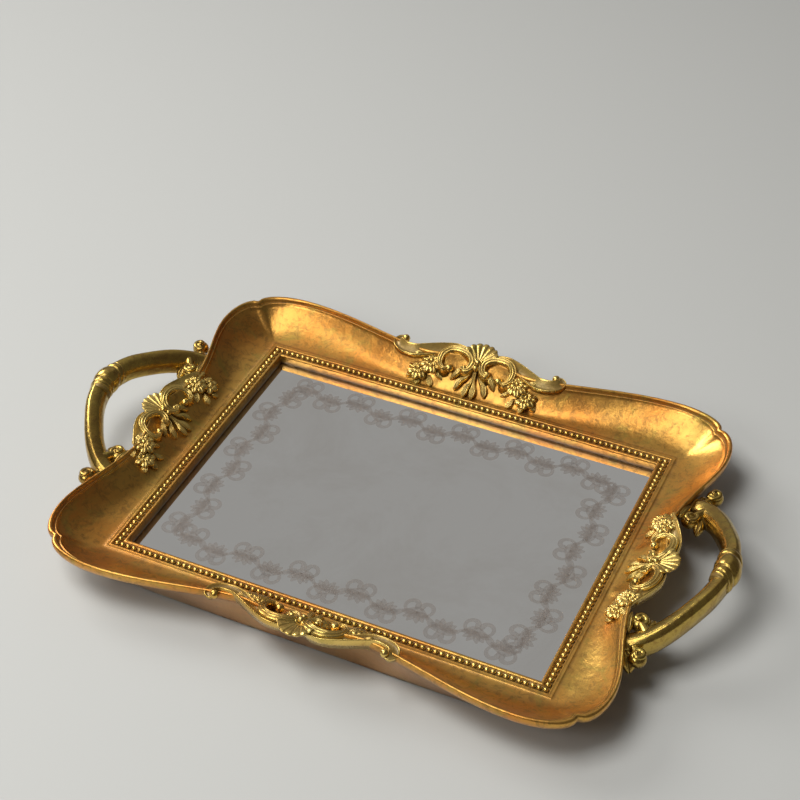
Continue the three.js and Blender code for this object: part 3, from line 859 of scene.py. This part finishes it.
def plain(name, dark, light, scale, roughness, metallic=0.0, stretch=(1, 1, 1)):
    """A quiet two-tone material with a grain, for the pieces underneath."""
    material, nodes, links, shader = new_material(name)
    grain = noise(nodes, links, scale, 6, 0.7, 0.0, stretch)
    colour = blend_colours(nodes, links, ramp(nodes, links, grain, 0.35, 0.65), dark, light)
    links.new(colour, shader.inputs["Base Color"])
    shader.inputs["Metallic"].default_value = metallic
    links.new(
        ramp(nodes, links, grain, 0.2, 0.8, roughness - 0.08, roughness + 0.05),
        shader.inputs["Roughness"],
    )
    relief = nodes.new("ShaderNodeBump")
    relief.inputs["Strength"].default_value = 0.2
    relief.inputs["Distance"].default_value = 0.0003
    links.new(grain, relief.inputs["Height"])
    links.new(relief.outputs["Normal"], shader.inputs["Normal"])
    return material


def silvered_glass():
    """Slightly grey mirror with a faint warm foxing."""
    material, nodes, links, shader = new_material("silvered_mirror")
    fox = ramp(nodes, links, noise(nodes, links, 14, 7, 0.7, 0.5), 0.45, 0.75, 0, 0.5)
    colour = blend_colours(nodes, links, fox, (0.78, 0.775, 0.76), (0.64, 0.61, 0.57))
    links.new(colour, shader.inputs["Base Color"])
    shader.inputs["Metallic"].default_value = 1.0
    smear = ramp(nodes, links, noise(nodes, links, 30, 5, 0.6), 0.3, 0.7, 0.03, 0.09)
    links.new(smear, shader.inputs["Roughness"])
    return material


def lace_print():
    material, nodes, links, shader = new_material("lace_print")
    shade = noise(nodes, links, 120, 4, 0.6)
    colour = blend_colours(nodes, links, shade, (0.17, 0.14, 0.12), (0.27, 0.23, 0.20))
    links.new(colour, shader.inputs["Base Color"])
    shader.inputs["Roughness"].default_value = 0.35
    shader.inputs["Alpha"].default_value = 0.24
    return material


frame_gilt = gilt("gilt_frame", (0.76, 0.44, 0.09), (0.72, 0.29, 0.045), 0.02, 0.3, 0.4, 0.0012)
ornament_gilt = gilt("gilt_ornament", (0.92, 0.66, 0.19), (0.74, 0.45, 0.09), -0.03, 0.22, 0.2, 0.0022)
handle_gilt = gilt("gilt_handle", (0.62, 0.43, 0.09), (0.46, 0.27, 0.05), 0.04, 0.22, 0.2, 0.0022)

# ------------------------------------------------------------------ assembly
build_casting(frame_gilt)
build_beading(ornament_gilt)
for side_name, side_shape, side_turn in SIDES:
    is_long = side_shape is LONG
    crest_scale = 1.0 if is_long else SHORT_CREST_SCALE
    ear_line = LONG_EAR if is_long else SHORT_EAR
    build_crest(side_name, side_shape, side_turn, crest_scale, ear_line, ornament_gilt)
    for which in ("left", "right"):
        shift = 0.0 if is_long else SHORT_SPRAY_SHIFT
        build_spray(side_name, side_shape, side_turn, crest_scale, shift, which, ornament_gilt)
build_handles(handle_gilt)

# The CAD pieces that keep their own shape, and what each is made of.
CAD_LOOKS = {
    "mirror_glass": silvered_glass(),
    "mirror_cushion": plain("white_foam", (0.70, 0.69, 0.66), (0.82, 0.81, 0.78), 900, 0.9),
    "backing_board": plain(
        "brown_board", (0.20, 0.12, 0.07), (0.34, 0.22, 0.13), 40, 0.8, 0.0, (1, 14, 1)
    ),
    "base_felt": plain("black_felt", (0.020, 0.020, 0.022), (0.06, 0.06, 0.065), 1600, 0.95),
}
steel = plain("zinc_steel", (0.42, 0.43, 0.45), (0.60, 0.61, 0.62), 700, 0.35, 1.0)
for node_name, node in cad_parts.items():
    if node_name.startswith(("dowel", "board_screw")):
        CAD_LOOKS[node_name] = steel
for node_name, look in CAD_LOOKS.items():
    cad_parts[node_name].material_slots[0].material = look

_, mirror_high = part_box("mirror_glass")
seat = SIGHT_IN - MIRROR_SEAT_IN - MIRROR_CLEARANCE
sight_edges = [mirror_high[0] / MM - seat, mirror_high[1] / MM - seat]
build_lace(lace_print(), sight_edges * 2, mirror_high[2] / MM + LACE_LIFT)


# ------------------------------------------------------------------ stage, light and camera
def build_floor():
    half = 6.0
    corners = [(-half, -half, 0), (half, -half, 0), (half, half, 0), (-half, half, 0)]
    mesh = bpy.data.meshes.new("studio_floor")
    mesh.from_pydata(corners, [], [(0, 1, 2, 3)])
    material, _, _, shader = new_material("pale_floor")
    shader.inputs["Base Color"].default_value = (0.44, 0.445, 0.43, 1)
    shader.inputs["Roughness"].default_value = 0.85
    mesh.materials.append(material)
    floor = bpy.data.objects.new("studio_floor", mesh)
    bpy.context.scene.collection.objects.link(floor)


LAMP_COLOUR = (1.0, 0.99, 0.975)


def add_softbox(name, place, size, power, glints=True):
    """A softbox aimed at the tray; one that gives no glints lights it without being mirrored."""
    lamp = bpy.data.lights.new(name, "AREA")
    lamp.shape = "RECTANGLE"
    lamp.size, lamp.size_y = size
    lamp.energy = power
    lamp.color = LAMP_COLOUR
    holder = bpy.data.objects.new(name, lamp)
    bpy.context.scene.collection.objects.link(holder)
    holder.location = place
    holder.rotation_euler = Vector(place).to_track_quat("Z", "Y").to_euler()
    holder.visible_glossy = glints


BACKDROP_TOWARDS = (-0.35, 0.65, 0.68)  # the pale side of the studio


def build_light():
    """Softboxes in a dim studio whose back wall is pale."""
    world = bpy.data.worlds.new("studio")
    world.use_nodes = True
    nodes, links = world.node_tree.nodes, world.node_tree.links
    backdrop = nodes["Background"]
    where = nodes.new("ShaderNodeTexCoord")
    facing = nodes.new("ShaderNodeVectorMath")
    facing.operation = "DOT_PRODUCT"
    facing.inputs[1].default_value = BACKDROP_TOWARDS
    links.new(where.outputs["Generated"], facing.inputs[0])
    pale = ramp(nodes, links, facing.outputs["Value"], 0.78, 0.94)
    wall = blend_colours(nodes, links, pale, (0.10, 0.092, 0.085), (0.37, 0.365, 0.355))
    links.new(wall, backdrop.inputs["Color"])
    bpy.context.scene.world = world
    bpy.context.scene.view_settings.view_transform = "Standard"
    add_softbox("overhead", (-0.40, -0.40, 1.45), (0.8, 0.7), 15, glints=False)
    add_softbox("overhead_glow", (-0.38, -0.36, 1.35), (0.8, 0.7), 5)
    add_softbox("window", (-1.5, 0.35, 1.1), (0.9, 0.9), 18)
    add_softbox("front", (-0.55, -1.15, 1.05), (0.6, 0.5), 6)


CAMERA_AT = (0.3064, -0.6061, 0.6635)
CAMERA_AZIMUTH = math.radians(26.554)
CAMERA_ELEVATION = math.radians(40.422)
CAMERA_ROLL = math.radians(-1.7375)
CAMERA_LENS = 77.58  # mm, on a sensor 36 mm wide


def build_camera():
    az, el, roll = CAMERA_AZIMUTH, CAMERA_ELEVATION, CAMERA_ROLL
    back = np.array([math.sin(az) * math.cos(el), -math.cos(az) * math.cos(el), math.sin(el)])
    level = np.array([math.cos(az), math.sin(az), 0.0])
    upright = np.cross(back, level)
    right = math.cos(roll) * level + math.sin(roll) * upright
    up = -math.sin(roll) * level + math.cos(roll) * upright
    lens = bpy.data.cameras.new("camera")
    lens.sensor_width = 36
    lens.lens = CAMERA_LENS
    camera = bpy.data.objects.new("camera", lens)
    bpy.context.scene.collection.objects.link(camera)
    turn = Matrix(np.stack([right, up, back], axis=1).tolist()).to_4x4()
    camera.matrix_world = Matrix.Translation(CAMERA_AT) @ turn
    bpy.context.scene.camera = camera


build_floor()
build_light()
build_camera()
